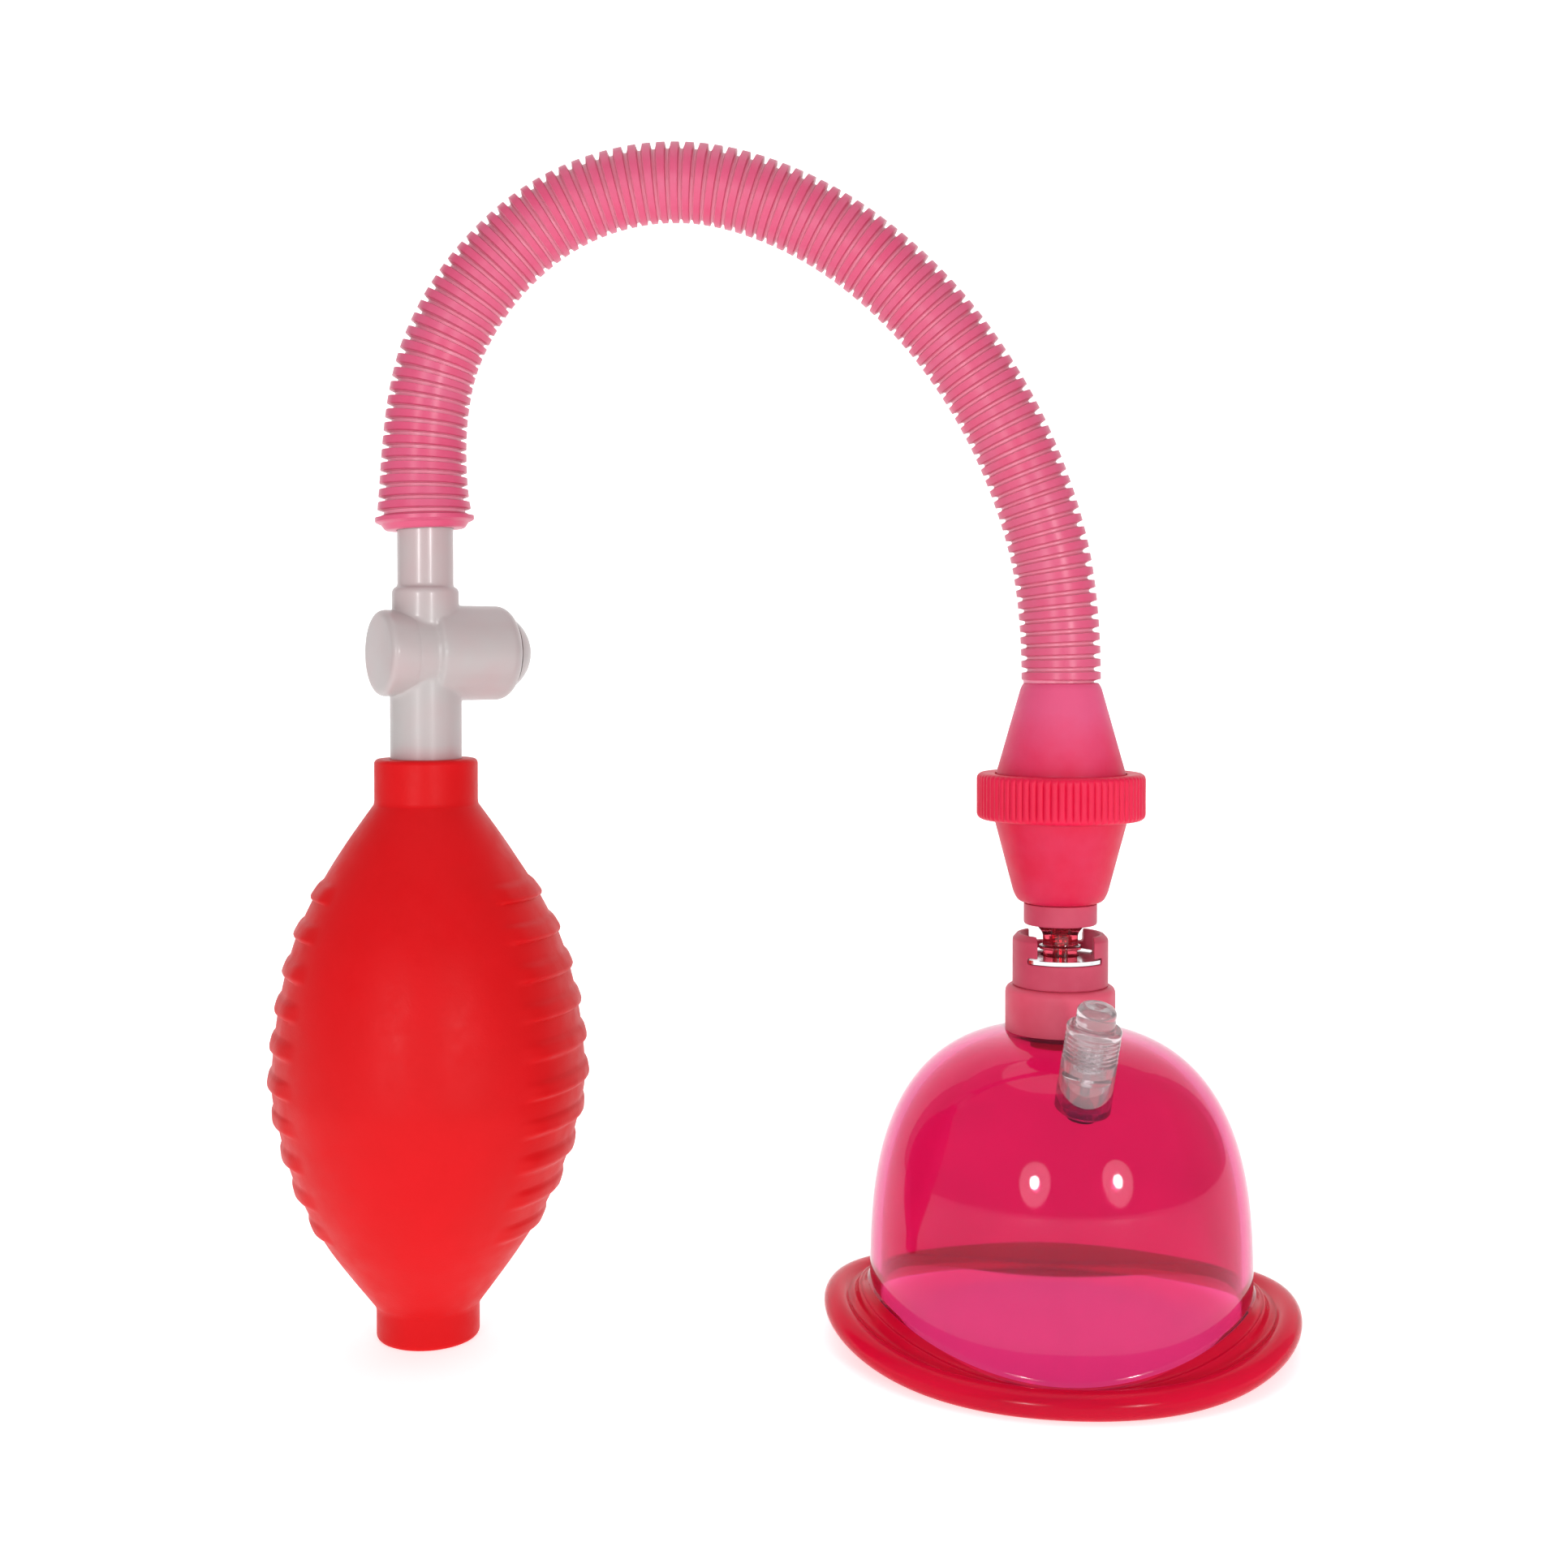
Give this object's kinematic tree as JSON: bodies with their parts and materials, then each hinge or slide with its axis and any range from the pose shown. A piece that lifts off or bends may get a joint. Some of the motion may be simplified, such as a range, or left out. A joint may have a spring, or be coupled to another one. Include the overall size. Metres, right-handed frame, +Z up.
{
  "type": "hand vacuum pump",
  "caption": "Hand-bulb vacuum pump: squeeze bulb, T release valve, arched corrugated hose, union coupling and a quick-connect to a domed suction cup.",
  "frame": {"origin": "floor level under the middle of the object's own box, measured without the hose: midway between the bulb's outer side and the cup rim's outer tip", "axes": "+Z up, +X from the squeeze bulb to the suction cup, -Y the side of the vent valve"},
  "size_m": [0.1934, 0.0848, 0.2244],
  "materials": {
    "bulb_rubber": "smooth satin moulded rubber",
    "milky_plastic": "milky translucent, satin",
    "valve_plastic": "natural moulded plastic",
    "black_rubber": "smooth seal rubber",
    "spring_steel": "drawn spring wire",
    "polished_steel": "polished",
    "pink_hose": "soft corrugated vinyl, translucent",
    "frosted_pink": "frosted translucent",
    "pale_pink": "satin translucent",
    "deep_red_plastic": "clear deep red",
    "felt": "pressed felt",
    "clear_pink": "clear tinted, glossy",
    "clear_plastic": "clear, glossy"
  },
  "bodies": {
    "cup": {"cup_shell": "clear_pink", "socket_base": "pale_pink", "socket_gasket": "black_rubber", "socket_body": "pale_pink", "socket_spring": "spring_steel", "latch_spring": "spring_steel", "vent_body": "clear_plastic", "vent_spring": "spring_steel"},
    "latch": {"latch_plate": "polished_steel"},
    "socket_check": {"socket_poppet": "valve_plastic"},
    "vent": {"vent_button": "clear_plastic", "vent_stem": "polished_steel", "vent_poppet": "black_rubber"},
    "plug": {"plug_collar": "pale_pink", "plug_nozzle": "deep_red_plastic", "plug_seal": "black_rubber", "plug_spring": "spring_steel"},
    "plug_valve": {"plug_pin": "polished_steel"},
    "pump": {"coupler_lower_cone": "frosted_pink", "coupler_seal": "black_rubber", "coupler_filter": "felt", "coupler_upper_cone": "frosted_pink", "hose_barb": "pale_pink", "hose": "pink_hose", "valve_body": "milky_plastic", "valve_end_plug": "milky_plastic", "release_spring": "spring_steel", "squeeze_bulb": "bulb_rubber", "exhaust_valve_body": "valve_plastic", "inlet_valve_seat": "valve_plastic"},
    "washer": {"thrust_washer": "pale_pink"},
    "nut": {"union_nut": "frosted_pink"},
    "release": {"release_button": "milky_plastic", "release_poppet": "valve_plastic", "release_seal": "black_rubber"},
    "exhaust_flap": {"exhaust_valve_disc": "black_rubber"},
    "inlet_flap": {"inlet_valve_disc": "black_rubber"}
  },
  "joints": [
    {"name": "plug_release", "type": "slide", "parent": "cup", "child": "plug", "axis": [0, 0, 1], "range_m": [0, 0.03]},
    {"name": "hose_swivel", "type": "hinge", "parent": "plug", "child": "pump", "pos_m": [0.0521, 0, 0.082], "axis": [0, 0, 1], "continuous": true},
    {"name": "nut_travel", "type": "slide", "parent": "pump", "child": "washer", "axis": [0, 0, 1], "range_m": [0, 0.003]},
    {"name": "nut_turn", "type": "hinge", "parent": "washer", "child": "nut", "pos_m": [0.0521, 0, 0.102], "axis": [0, 0, 1], "range_deg": [0, 540]},
    {"name": "release_press", "type": "slide", "parent": "pump", "child": "release", "axis": [-0.8434, -0.5373, 0], "range_m": [0, 0.002], "stiffness_N_per_m": 500, "springref_m": -0.002, "deforming": ["release_spring"]},
    {"name": "exhaust_lift", "type": "slide", "parent": "pump", "child": "exhaust_flap", "axis": [0, 0, -1], "range_m": [0, 0.0008], "stiffness_N_per_m": 5, "springref_m": -0.0005},
    {"name": "inlet_lift", "type": "slide", "parent": "pump", "child": "inlet_flap", "axis": [0, 0, -1], "range_m": [0, 0.0008], "stiffness_N_per_m": 5, "springref_m": -0.0005},
    {"name": "plug_pin_lift", "type": "slide", "parent": "plug", "child": "plug_valve", "axis": [0, 0, 1], "range_m": [0, 0.001], "stiffness_N_per_m": 200, "springref_m": -0.001, "deforming": ["plug_spring"]},
    {"name": "latch_press", "type": "slide", "parent": "cup", "child": "latch", "axis": [0, -1, 0], "range_m": [0, 0.0012], "stiffness_N_per_m": 800, "springref_m": -0.0008, "deforming": ["latch_spring"]},
    {"name": "socket_check_press", "type": "slide", "parent": "cup", "child": "socket_check", "axis": [0, 0, -1], "range_m": [0, 0.0015], "stiffness_N_per_m": 200, "springref_m": -0.001, "deforming": ["socket_spring"]},
    {"name": "vent_press", "type": "slide", "parent": "cup", "child": "vent", "axis": [-0.105, 0.2249, -0.9687], "range_m": [0, 0.002], "stiffness_N_per_m": 300, "springref_m": -0.0015, "deforming": ["vent_spring"]}
  ],
  "couplings": [
    {"joint": "nut_turn", "follows": "nut_travel", "rad_per_m": 3141.6}
  ]
}
